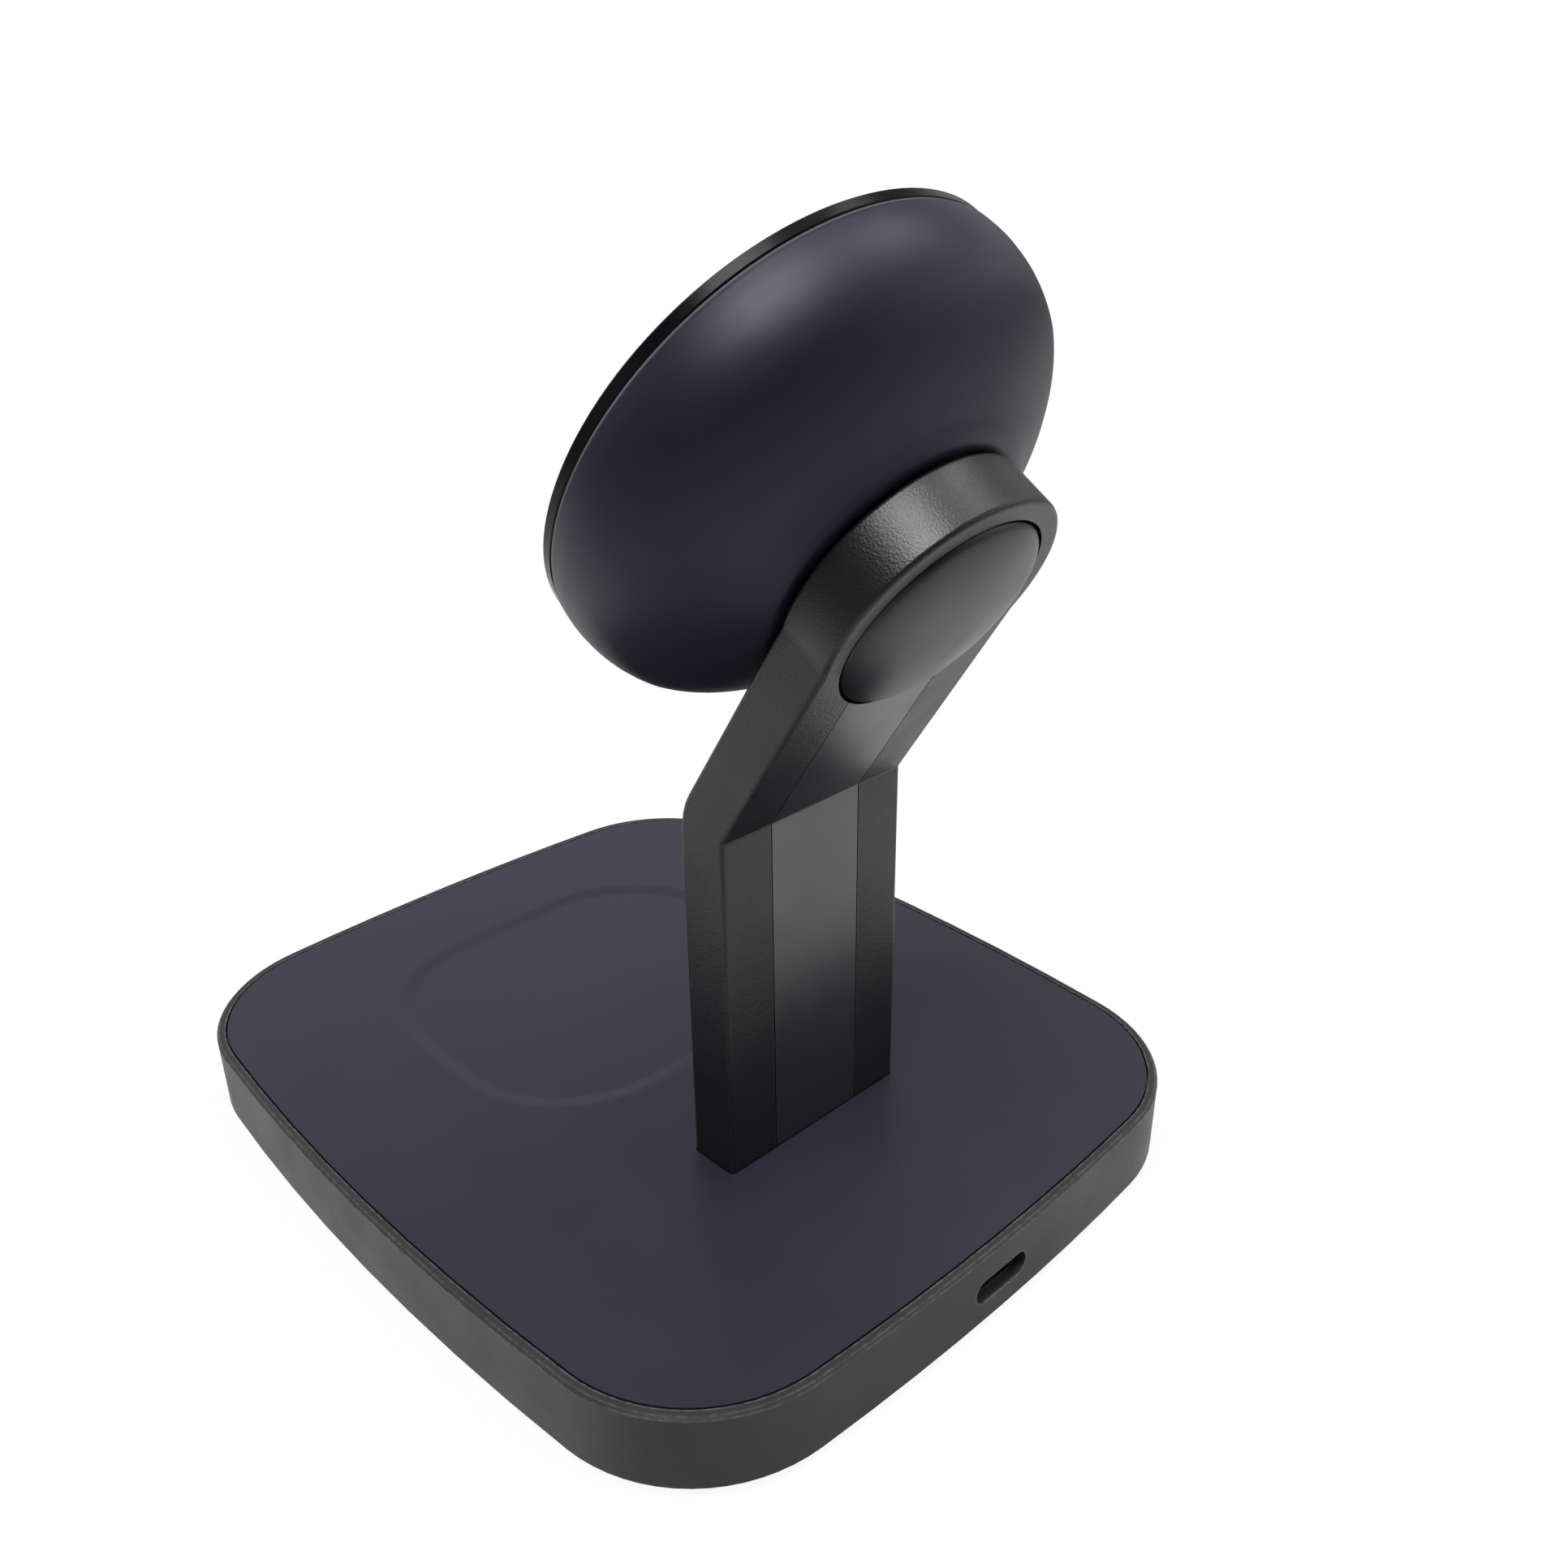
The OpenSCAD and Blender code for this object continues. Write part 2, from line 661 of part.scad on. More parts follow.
// How far the channel runs on into the recess and the pocket
channel_over = 0.3;
channel_end = ring_z + channel_over - min(
  sqrt(pow(recess_r, 2) - pow(cover_w / 2 + cover_seam, 2)),
  sqrt(pow(pocket_r, 2) - pow(lead_slot_w / 2, 2))
);

module arm_frame() {
  color([0.2, 0.2, 0.21]) difference() {
    union() {
      sweep_arm(ballast_top, ring_z) {
        arm_section();
        arm_section(bend_inset);
      }
      ring_frame() ring_disc();
      translate([0, arm_y - arm_t / 2, ballast_top]) linear_extrude(flange_t)
        polygon(round_box(flange_w, flange_d, flange_d / 8));
    }
    // Channel for the lead and its cover, up into the ring's recess
    sweep_arm(deck_z, channel_end) {
      channel_section();
      channel_section(bend_inset);
    }
    translate([-lead_slot_w / 2, arm_y - channel_depth, ballast_top - cut])
      cube([lead_slot_w, flange_d, flange_t + 2 * cut]);
    // Recess for the cap, pocket for the nut, seat of the thrust washer, bearing
    ring_frame() {
      translate([0, 0, -cap_seat]) cylinder(r = recess_r, h = cap_seat + cut);
      translate([0, 0, pocket_z]) cylinder(r = pocket_r, h = -pocket_z);
      translate([0, 0, -arm_t - cut]) cylinder(r = spindle_d / 2 + running_gap, h = arm_t);
      translate([0, 0, -arm_t - cut]) cylinder(r = thrust_d / 2 + screw_room, h = thrust_recess + cut);
      translate([0, -stop_pin_r, -arm_t - cut]) cylinder(d = stop_pin_d, h = stop_pin_hold + cut);
    }
    at_arm_screws() translate([0, 0, ballast_t - cut]) cylinder(d = arm_screw_d, h = flange_t + 2 * cut);
  }
}

module channel_cover() {
  color([0.3, 0.3, 0.31]) difference() {
    sweep_arm(deck_z, ring_z) {
      rear_strip(cover_w, cover_t);
      rear_strip(cover_w, cover_t, bend_inset);
    }
    ring_frame() translate([0, 0, -arm_t]) cylinder(r = recess_r, h = 2 * arm_t);
  }
}

// Flat lead: one strip along the channel, over the nut and to the spindle's mouth

// Gap between the lead and the channel's floor
lead_gap = 0.05;
lead_in = channel_depth - lead_gap - lead_t / 2;
lead_y = arm_y - lead_in;
lead_low_z = ballast_top + screw_room + lead_t / 2;
// Free space between the lead and the turning nut
lead_over_nut = 0.3;
lead_turn_r = 2;
plug_y = board_y0 + lead_turn_r / 4;

// Point of the leaning part's frame, [out of the rear face, up the arm], as [y, z]
function upper_point(p) =
  [arm_y + bend_r + (p[0] - bend_r) * cos(lean) + p[1] * sin(lean),
   bend_start_z - (p[0] - bend_r) * sin(lean) + p[1] * cos(lean)];

lead_top_y = nut_top + lead_over_nut + lead_t / 2;
lead_rise_from = ring_z - pocket_r + lead_over_nut;
lead_rise_to = ring_z - nut_d / 2 - 2 * lead_over_nut;

lead_path = concat(
  [[plug_y, lead_low_z]],
  arc([lead_y + lead_turn_r, lead_low_z + lead_turn_r], lead_turn_r, 270, 180, small_steps),
  [for (i = [0:small_steps]) let (a = lean * i / small_steps, r = bend_r + arm_y - lead_y)
    [arm_y + bend_r - r * cos(a), bend_start_z + r * sin(a)]],
  [for (i = [0:small_steps]) let (t = i / small_steps)
    upper_point([-lead_in + (lead_top_y + lead_in) * smooth(t),
                 lead_rise_from + (lead_rise_to - lead_rise_from) * t])],
  [upper_point([lead_top_y, ring_z + lead_w / 2])]
);

function direction(path, i) =
  let (a = path[max(i - 1, 0)], b = path[min(i + 1, len(path) - 1)]) (b - a) / norm(b - a);

// Strip of thickness t along a path
function band(path, t) = concat(
  [for (i = [0:len(path) - 1]) let (d = direction(path, i)) path[i] + t / 2 * [-d.y, d.x]],
  [for (i = [len(path) - 1:-1:0]) let (d = direction(path, i)) path[i] - t / 2 * [-d.y, d.x]]
);

module arm_lead() {
  color([0.12, 0.12, 0.13]) translate([-lead_w / 2, 0, 0]) rotate([90, 0, 90])
    linear_extrude(lead_w) polygon(band(lead_path, lead_t));
}

module lead_plug() {
  color([0.85, 0.85, 0.8]) translate([-lead_w, plug_y, board_top]) cube([2 * lead_w, lead_w, part_h]);
}

// Electronics in the base

module main_board() {
  notch_w = socket_w + 2 * screw_room;
  notch_y = socket_y0 - 2 * screw_room;
  color([0.05, 0.3, 0.2]) translate([0, 0, board_z]) linear_extrude(board_t) difference() {
    translate([0, (board_y0 + board_y1) / 2]) polygon(round_box(board_w, board_d, board_corner_r));
    translate([-notch_w / 2, notch_y]) square([notch_w, board_d]);
    at_posts() circle(d = board_screw_d + 4 * thread_play);
  }
}

// Screw that points down, with the usual head for its thread
module small_screw(d, len) {
  mirror([0, 0, 1]) pan_screw(d, len, small_head_d * d, small_head_h * d);
}

module board_screws() {
  color([0.6, 0.6, 0.62]) at_posts() translate([0, 0, board_top]) small_screw(board_screw_d, board_screw_len);
}

// Places on the main board, as shares of its half-width and of its depth
chip_spots = [[-0.36, 0.43], [0.36, 0.43]];
inductor_spots = [[-0.7, 0.75]];
can_spots = [[0.5, 0.75], [0.63, 0.75], [0.76, 0.75]];

module on_board(spots) {
  for (s = spots) translate([s[0] * board_w / 2, board_y0 + s[1] * board_d, board_top]) children();
}

module chip(w, d, h) {
  translate([-w / 2, -d / 2, 0]) cube([w, d, h]);
}

module board_chips() {
  color([0.08, 0.08, 0.08]) on_board(chip_spots) chip(chip_w, chip_w, board_t);
}

module power_inductor() {
  color([0.25, 0.25, 0.27]) on_board(inductor_spots) chip(inductor_w, inductor_w, part_h);
}

module capacitors() {
  color([0.75, 0.7, 0.6]) on_board(can_spots) cylinder(d = can_d, h = part_h);
}

// Socket: ends, the ears that are soldered to the board, and the tongue
socket_y1 = base_d / 2 - port_recess;
socket_y0 = socket_y1 - socket_len;
ear_w = 1.6;
ear_t = 0.3;
socket_back = 0.3 * socket_len;
tongue_w = 6.7;
tongue_t = 0.7;
tongue_set_back = 0.5;

module usb_c_shell() {
  color([0.75, 0.76, 0.78]) {
    translate([0, 0, port_z]) difference() {
      slot_bar(socket_w, socket_h, socket_y0, socket_y1);
      slot_bar(socket_w - 2 * socket_wall, socket_h - 2 * socket_wall, socket_y0 - cut, socket_y1 + cut);
    }
    for (s = [-1, 1]) translate([s * (socket_w + ear_w / 2) / 2, socket_y0 + ear_w, board_top + ear_t / 2])
      cube([ear_w, ear_w, ear_t], center = true);
  }
}

module usb_c_tongue() {
  fit = 0.02;
  inner_w = socket_w - 2 * socket_wall - 2 * fit;
  inner_h = socket_h - 2 * socket_wall - 2 * fit;
  color([0.07, 0.07, 0.08]) translate([0, 0, port_z]) {
    slot_bar(inner_w, inner_h, socket_y0, socket_y0 + socket_back);
    translate([-tongue_w / 2, socket_y0 + socket_back - cut, -tongue_t / 2])
      cube([tongue_w, socket_len - socket_back - tongue_set_back + cut, tongue_t]);
  }
}

module earbud_coil() {
  color([0.72, 0.45, 0.25]) translate([0, dish_y, deck_z]) mirror([0, 0, 1])
    flat_coil(bud_coil_od, bud_coil_id, bud_coil_t, coil_turns, bud_coil_t / 4);
}

module earbud_ferrite() {
  color([0.25, 0.25, 0.26]) translate([0, dish_y, deck_z - bud_coil_t - bud_ferrite_t])
    linear_extrude(bud_ferrite_t) square(bud_ferrite, center = true);
}

// Ring: cap, bearing and stop

module rear_cap() {
  outer = dome(cap_d / 2, cap_rise + cap_shoulder, cap_power, 0, 90, 20);
  inner = dome(skirt_r, cap_rise + cap_shoulder - cap_wall, cap_power, 0, 90, 12);
  color([0.24, 0.24, 0.26]) ring_frame() rotate_extrude() polygon(concat(
    [[skirt_r, -cap_seat], [cap_d / 2, -cap_seat]],
    [for (p = outer) [p[0], p[1] - cap_shoulder]],
    [for (i = [len(inner) - 1:-1:0]) [inner[i][0], inner[i][1] - cap_shoulder]]
  ));
}

module thrust_washer() {
  color([0.85, 0.84, 0.8]) ring_frame()
    tube(thrust_d / 2, spindle_d / 2 + screw_room, -arm_t - head_gap + axial_play, -arm_t + thrust_recess);
}

module stop_pin() {
  color([0.6, 0.6, 0.62]) ring_frame() translate([0, -stop_pin_r, -arm_t - stop_pin_reach])
    cylinder(r = stop_pin_d / 2 - thread_play / 2, h = stop_pin_hold - screw_room + stop_pin_reach);
}

module disc_spring() {
  z0 = pocket_z + axial_play;
  ri = spindle_d / 2 + 2 * screw_room;
  color([0.5, 0.5, 0.52]) ring_frame() rotate_extrude() polygon([
    [ri, z0 + spring_h - spring_t], [nut_d / 2, z0], [nut_d / 2, z0 + spring_t], [ri, z0 + spring_h]
  ]);
}

module flat_washer() {
  z0 = pocket_z + axial_play + spring_h;
  color([0.6, 0.6, 0.62]) ring_frame() tube(nut_d / 2, spindle_d / 2 + screw_room, z0, z0 + washer_t);
}

module spindle_nut() {
  notch_w = 2.5;
  notch_depth = 1.2;
  color([0.7, 0.62, 0.4]) ring_frame() difference() {
    tube(nut_d / 2, spindle_d / 2 + thread_play, nut_top - nut_t, nut_top);
    for (s = [-1, 1]) translate([s * (nut_d / 2 - notch_depth / 2), 0, nut_top - nut_t / 2])
      cube([notch_depth + 0.2, notch_w, 2 * nut_t], center = true);
  }
}

// Head, in the ring's frame: the front is at -head_len

shell_z0 = -head_len + rim_t;
shell_z1 = -arm_t - head_gap;
bowl_len = shell_z1 - shell_z0;
hub_z = shell_z1 - hub_t;
carrier_z1 = shell_z0 + bowl_widest;
carrier_z0 = carrier_z1 - carrier_t;
screw_circle_r = (spindle_d + spindle_flange_d) / 4 + screw_room;
spindle_screw_d = 2.5;
spindle_screw_head_d = 4.2;
// Material left between the spindle screws' holes and the hub's rear face
hub_skin = 0.7;

// Superellipse angle at which a curve of radius r has shrunk to radius r1
function shrink_angle(r, r1, power) = acos(pow(r1 / r, power / 2));

// Half-depth of a superellipse that shrinks from r to r1 over the distance len
function half_depth(r, r1, len, power) = len / pow(sin(shrink_angle(r, r1, power)), 2 / power);

// Curve that starts at radius r and height z, and reaches radius r1 after the distance len
function closing_curve(r, r1, z, len, power, n) =
  let (h = half_depth(r, r1, abs(len), power) * sign(len))
  [for (p = dome(r, h, power, 0, shrink_angle(r, r1, power), n)) [p[0], z + p[1]]];

module at_spindle_screws() {
  for (i = [0:2]) rotate(60 + 120 * i) translate([screw_circle_r, 0, 0]) children();
}

module head_shell() {
  widest_z = shell_z0 + bowl_widest;
  front = closing_curve(bowl_d / 2, bowl_front_d / 2, widest_z, -bowl_widest, bowl_power, 6);
  rear = closing_curve(bowl_d / 2, bowl_rear_d / 2, widest_z, bowl_len - bowl_widest, bowl_power, curve_steps);
  hollow = closing_curve(cavity_d / 2, cavity_rear_d / 2, carrier_z1, hub_z - carrier_z1, bowl_power, 10);
  groove_half = turn_limit + asin((stop_pin_d / 2 + head_gap) / stop_pin_r);
  groove_w = stop_pin_d + 2 * head_gap;
  color([0.17, 0.17, 0.2]) ring_frame() difference() {
    rotate_extrude() polygon(concat(
      [[0, hub_z]],
      [for (i = [len(hollow) - 1:-1:0]) hollow[i]],
      [[spigot_d / 2 + spigot_gap, carrier_z1], [spigot_d / 2 + spigot_gap, shell_z0]],
      [[bowl_front_d / 2 - rim_bevel, shell_z0]],
      [for (i = [len(front) - 2:-1:0]) front[i]],
      tail(rear),
      [[0, shell_z1]]
    ));
    translate([0, 0, hub_z - cut]) cylinder(r = spindle_d / 2 + thread_play, h = hub_t + 2 * cut);
    // Groove for the stop pin
    rotate(-90 - groove_half) rotate_extrude(angle = 2 * groove_half)
      translate([stop_pin_r - groove_w / 2, shell_z1 - stop_pin_reach])
      square([groove_w, stop_pin_reach + cut]);
    at_spindle_screws() translate([0, 0, hub_z - cut]) cylinder(d = spindle_screw_d, h = hub_t - hub_skin + cut);
  }
}

module head_spindle() {
  color([0.65, 0.66, 0.68]) ring_frame() difference() {
    union() {
      translate([0, 0, hub_z - spindle_flange_t]) cylinder(d = spindle_flange_d, h = spindle_flange_t);
      translate([0, 0, hub_z - spindle_flange_t])
        cylinder(d = spindle_d, h = nut_top - hub_z + spindle_flange_t);
    }
    translate([0, 0, hub_z - spindle_flange_t - cut]) cylinder(d = spindle_bore, h = head_len);
    at_spindle_screws() translate([0, 0, hub_z - spindle_flange_t - cut])
      cylinder(d = spindle_screw_d + 4 * thread_play, h = spindle_flange_t + 2 * cut);
  }
}

module spindle_screws() {
  color([0.6, 0.6, 0.62]) ring_frame() at_spindle_screws() translate([0, 0, hub_z - spindle_flange_t])
    pan_screw(spindle_screw_d, spindle_flange_t + hub_t - hub_skin - screw_room, spindle_screw_head_d,
      spindle_screw_head_d / 3);
}

face_z1 = -head_len + face_t;

module rim_ring() {
  r = rim_d / 2;
  b = rim_bevel;
  flange_r = face_d / 2 - face_ledge;
  seat_r = face_d / 2 + face_gap;
  spigot_ri = spigot_d / 2 - spigot_t;
  color([0.04, 0.04, 0.05]) ring_frame() rotate_extrude() polygon([
    [seat_r, -head_len], [r - b, -head_len], [r, -head_len + b], [r, shell_z0 - b], [r - b, shell_z0],
    [spigot_d / 2, shell_z0], [spigot_d / 2, carrier_z0], [spigot_ri, carrier_z0], [spigot_ri, shell_z0],
    [flange_r, shell_z0], [flange_r, face_z1], [seat_r, face_z1]
  ]);
}

module charging_face() {
  e = rim_bevel;
  r = face_d / 2;
  color([0.12, 0.12, 0.14]) ring_frame() rotate_extrude()
    polygon([[0, -head_len], [r - e, -head_len], [r, -head_len + e], [r, face_z1], [0, face_z1]]);
}

module at_head_posts() {
  for (i = [0:2]) rotate(30 + 120 * i) translate([head_board_d / 2 - 1.5 * head_post_d / 2, 0, 0]) children();
}

head_post_d = 4;
head_screw_d = 0.4 * head_post_d;
// How far the head screws' holes reach into the carrier's floor
head_screw_skin = 0.6;
head_board_z = carrier_z1 + head_post_h;

module coil_carrier() {
  wall_r = magnet_id / 2 - carrier_gap;
  color([0.8, 0.8, 0.78]) ring_frame() difference() {
    union() {
      translate([0, 0, carrier_z0]) cylinder(d = spigot_d - 2 * spigot_gap, h = carrier_t);
      tube(wall_r, wall_r - carrier_wall, carrier_z0 - 2 * coil_t, carrier_z0 + carrier_t / 2);
      at_head_posts() translate([0, 0, carrier_z0]) cylinder(d = head_post_d, h = carrier_t + head_post_h);
    }
    at_head_posts() translate([0, 0, carrier_z1 - head_screw_skin]) cylinder(d = head_screw_d, h = carrier_t + head_post_h);
    translate([0, 0, carrier_z0 - cut]) cylinder(d = spindle_bore, h = carrier_t + 2 * cut);
  }
}

module magnet_segments() {
  step = 360 / magnet_count;
  split = 1.2;
  color([0.7, 0.71, 0.73]) ring_frame() for (i = [0:magnet_count - 1]) rotate(i * step)
    translate([0, 0, carrier_z0 - yoke_t - magnet_t]) rotate_extrude(angle = step - split)
    translate([magnet_id / 2, 0]) square([magnet_w, magnet_t]);
}

module magnet_yoke() {
  color([0.55, 0.56, 0.58]) ring_frame() tube(magnet_od / 2, magnet_id / 2, carrier_z0 - yoke_t, carrier_z0);
}

module phone_coil() {
  color([0.72, 0.45, 0.25]) ring_frame() translate([0, 0, carrier_z0 - coil_t]) mirror([0, 0, 1])
    flat_coil(coil_od, coil_id, coil_t, coil_turns, coil_t / 4);
}

module coil_ferrite() {
  color([0.25, 0.25, 0.26]) ring_frame() tube(coil_od / 2 + coil_gap / 2, spindle_bore / 2, carrier_z0 - coil_t, carrier_z0);
}

module head_board() {
  color([0.05, 0.3, 0.2]) ring_frame() translate([0, 0, head_board_z]) linear_extrude(board_t) difference() {
    circle(d = head_board_d);
    at_head_posts() circle(d = head_screw_d + 4 * thread_play);
  }
}

module head_board_screws() {
  color([0.6, 0.6, 0.62]) ring_frame() at_head_posts() translate([0, 0, head_board_z + board_t])
    small_screw(head_screw_d, board_t + head_post_h);
}

// Places of the chips on the head board, as shares of its radius
head_chip_spots = [[-0.4, 0.3], [0.4, 0.3], [0, -0.55]];

module head_chips() {
  w = head_board_d / 7;
  color([0.08, 0.08, 0.08]) ring_frame() for (s = head_chip_spots)
    translate([s[0] * head_board_d / 2, s[1] * head_board_d / 2, head_board_z + board_t]) chip(w, w, board_t);
}

module head_lead() {
  z0 = head_board_z + board_t;
  color([0.12, 0.12, 0.13]) ring_frame() translate([0, 0, z0])
    cylinder(d = spindle_bore / 4, h = nut_top - z0 - 2 * screw_room);
}

base_shell();
top_panel();
bottom_plate();
foot_ring();
ballast_plate();
base_screws();
arm_frame();
arm_screws();
channel_cover();
arm_lead();
lead_plug();
main_board();
board_screws();
board_chips();
power_inductor();
capacitors();
usb_c_shell();
usb_c_tongue();
earbud_coil();
earbud_ferrite();
rear_cap();
thrust_washer();
stop_pin();
head_spindle();
spindle_nut();
flat_washer();
disc_spring();
spindle_screws();
head_shell();
rim_ring();
charging_face();
coil_carrier();
magnet_segments();
magnet_yoke();
phone_coil();
coil_ferrite();
head_board();
head_board_screws();
head_chips();
head_lead();
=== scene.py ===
import math

import bpy
import numpy as np
from mathutils import Euler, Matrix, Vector


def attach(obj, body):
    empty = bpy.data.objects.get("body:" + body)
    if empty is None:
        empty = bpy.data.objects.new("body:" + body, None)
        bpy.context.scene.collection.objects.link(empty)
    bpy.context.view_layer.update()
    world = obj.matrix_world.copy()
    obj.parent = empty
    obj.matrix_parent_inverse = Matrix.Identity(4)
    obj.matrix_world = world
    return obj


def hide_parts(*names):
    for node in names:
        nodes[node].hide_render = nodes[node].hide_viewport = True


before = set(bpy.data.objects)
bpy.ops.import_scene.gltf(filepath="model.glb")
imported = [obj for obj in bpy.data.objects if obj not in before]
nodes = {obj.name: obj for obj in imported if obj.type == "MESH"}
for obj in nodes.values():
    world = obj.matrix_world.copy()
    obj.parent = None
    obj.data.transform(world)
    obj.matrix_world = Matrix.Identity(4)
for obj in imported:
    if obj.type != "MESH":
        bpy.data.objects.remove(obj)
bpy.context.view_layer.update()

scene = bpy.context.scene
scene.view_settings.view_transform = "Standard"


def link(tree, a, b):
    tree.links.new(a, b)


# The axis that the head turns about: the middle of the ring's rear face, and out of that face
RING_MIDDLE = np.array((0, 0.0455195, 0.0831697))
RING_AXIS = np.array((0, 0.838671, -0.544639))
# Where along it the painted highlight line at the bowl's front fades in, from none to full
FRONT_HIGHLIGHT_SPAN = (-0.02475, -0.02495)
# Size of the grains along an edge, in its painted highlight and rubbed coat
EDGE_GRAIN = 0.0008


class Look:
    """A Principled material with roughness, colour and bump from noise. Sizes are in metres."""

    def __init__(self, name, colour, rough, metal=0.0, spec=0.5):
        self.mat = bpy.data.materials.new(name)
        self.mat.use_nodes = True
        self.tree = self.mat.node_tree
        self.tree.nodes.clear()
        self.bsdf = self.new("ShaderNodeBsdfPrincipled")
        out = self.new("ShaderNodeOutputMaterial")
        link(self.tree, self.bsdf.outputs[0], out.inputs["Surface"])
        self.coord = self.new("ShaderNodeTexCoord").outputs["Object"]
        self.set("Base Color", (*colour, 1))
        self.set("Roughness", rough)
        self.set("Metallic", metal)
        self.set("Specular IOR Level", spec)
        self.rough = rough
        self.colour = colour

    def new(self, kind):
        return self.tree.nodes.new(kind)

    def set(self, socket, value):
        self.bsdf.inputs[socket].default_value = value

    def noise(self, size, detail):
        """Noise value 0..1 with features of about that size, in metres."""
        n = self.new("ShaderNodeTexNoise")
        n.inputs["Scale"].default_value = 1 / size
        n.inputs["Detail"].default_value = detail
        link(self.tree, self.coord, n.inputs["Vector"])
        return n.outputs["Fac"]

    def remap(self, value, a0, a1, b0, b1, smooth=False):
        """Value carried over from the range a0..a1 to b0..b1."""
        m = self.new("ShaderNodeMapRange")
        m.interpolation_type = "SMOOTHSTEP" if smooth else "LINEAR"
        for key, v in (("From Min", a0), ("From Max", a1), ("To Min", b0), ("To Max", b1)):
            m.inputs[key].default_value = v
        link(self.tree, value, m.inputs["Value"])
        return m.outputs["Result"]

    def math(self, op, a, b):
        m = self.new("ShaderNodeMath")
        m.operation = op
        for i, v in enumerate((a, b)):
            if isinstance(v, (int, float)):
                m.inputs[i].default_value = v
            else:
                link(self.tree, v, m.inputs[i])
        return m.outputs[0]

    def vary_rough(self, size, amount):
        """Roughness that wanders by up to amount each way."""
        low, high = self.rough - amount, self.rough + amount
        value = self.remap(self.noise(size, 4), 0.3, 0.7, low, high)
        link(self.tree, value, self.bsdf.inputs["Roughness"])

    def tint(self, fac, other):
        """Mixes the colour so far towards another where fac is 1."""
        mix = self.new("ShaderNodeMix")
        mix.data_type = "RGBA"
        socket = self.bsdf.inputs["Base Color"]
        if socket.is_linked:
            link(self.tree, socket.links[0].from_socket, mix.inputs["A"])
        else:
            mix.inputs["A"].default_value = (*self.colour, 1)
        mix.inputs["B"].default_value = (*other, 1)
        link(self.tree, fac, mix.inputs["Factor"])
        link(self.tree, mix.outputs["Result"], socket)

    def bump(self, height, distance, strength):
        b = self.new("ShaderNodeBump")
        b.inputs["Distance"].default_value = distance
        b.inputs["Strength"].default_value = strength
        link(self.tree, height, b.inputs["Height"])
        if self.bsdf.inputs["Normal"].is_linked:
            link(self.tree, self.bsdf.inputs["Normal"].links[0].from_socket, b.inputs["Normal"])
        link(self.tree, b.outputs["Normal"], self.bsdf.inputs["Normal"])

    def edges(self, radius, colour, amount):
        """Lighter along every sharp edge, in fine grains: a painted highlight for the light
        that the small edge rounds catch, with a little rubbed coat.
        """
        bevel = self.new("ShaderNodeBevel")
        bevel.samples = 4
        bevel.inputs["Radius"].default_value = radius
        geo = self.new("ShaderNodeNewGeometry")
        dot = self.new("ShaderNodeVectorMath")
        dot.operation = "DOT_PRODUCT"
        link(self.tree, bevel.outputs["Normal"], dot.inputs[0])
        link(self.tree, geo.outputs["True Normal"], dot.inputs[1])
        edge = self.remap(dot.outputs["Value"], 0.97, 0.80, 0.0, amount)
        grains = self.remap(self.noise(EDGE_GRAIN, 3), 0.42, 0.58, 0.25, 1.0)
        self.tint(self.math("MULTIPLY", edge, grains), colour)

    def painted_top_light(self, colour):
        """Painted light: another colour, lighter in use, where the surface faces up, standing
        in for the light on upward faces.
        """
        normal = self.new("ShaderNodeNewGeometry").outputs["Normal"]
        split = self.new("ShaderNodeSeparateXYZ")
        link(self.tree, normal, split.inputs[0])
        self.tint(self.remap(split.outputs["Z"], 0.4, 0.8, 0.0, 1.0, True), colour)

    def painted_front_highlight(self, colour):
        """Painted highlight: a fine lighter line round the bowl's front edge, where it meets
        the rim, for the light that the rim's small bevel catches.
        """
        dot = self.new("ShaderNodeVectorMath")
        dot.operation = "DOT_PRODUCT"
        link(self.tree, self.coord, dot.inputs[0])
        dot.inputs[1].default_value = tuple(RING_AXIS)
        along = self.math("SUBTRACT", dot.outputs["Value"], float(RING_MIDDLE @ RING_AXIS))
        self.tint(self.remap(along, *FRONT_HIGHLIGHT_SPAN, 0.0, 1.0), colour)

    def specks(self, size, share, colour):
        """Tiny specks of dust, in that share of cells of that size."""
        v = self.new("ShaderNodeTexVoronoi")
        v.inputs["Scale"].default_value = 1 / size
        link(self.tree, self.coord, v.inputs["Vector"])
        # A speck's radius is 3 to 5% of the cells' size
        dot = self.remap(v.outputs["Distance"], 0.03, 0.05, 1.0, 0.0)
        pick = self.new("ShaderNodeSeparateColor")
        link(self.tree, v.outputs["Color"], pick.inputs["Color"])
        chosen = self.math("LESS_THAN", pick.outputs[0], share)
        self.tint(self.math("MULTIPLY", dot, chosen), colour)


def soft_touch(name, colour, rough, spec, tint=(1, 1, 1)):
    """Rubbery coat: even, with a very fine grain and slow changes of shade."""
    m = Look(name, colour, rough, 0.0, spec)
    m.set("Specular Tint", (*tint, 1))
    m.vary_rough(0.012, 0.03)
    m.bump(m.noise(0.00012, 2), 0.000006, 0.5)
    m.tint(m.remap(m.noise(0.03, 3), 0.35, 0.65, 0.0, 0.35), tuple(c * 1.12 for c in colour))
    return m


def sand_coat(name, colour, rough, spec, grain, depth):
    """Painted metal with a grain of that size and depth."""
    m = Look(name, colour, rough, 0.0, spec)
    m.vary_rough(0.008, 0.04)
    m.bump(m.noise(grain, 3), depth, 0.6)
    return m


def plain(name, colour, rough, metal=0.0, grain=0.0004, depth=0.00001):
    """Finish for what is hidden or small: a faint grain and slightly uneven shade."""
    m = Look(name, colour, rough, metal)
    m.vary_rough(0.003, 0.05)
    m.bump(m.noise(grain, 2), depth, 0.4)
    m.tint(m.remap(m.noise(0.002, 4), 0.4, 0.6, 0.0, 0.3), tuple(c * 0.8 for c in colour))
    return m


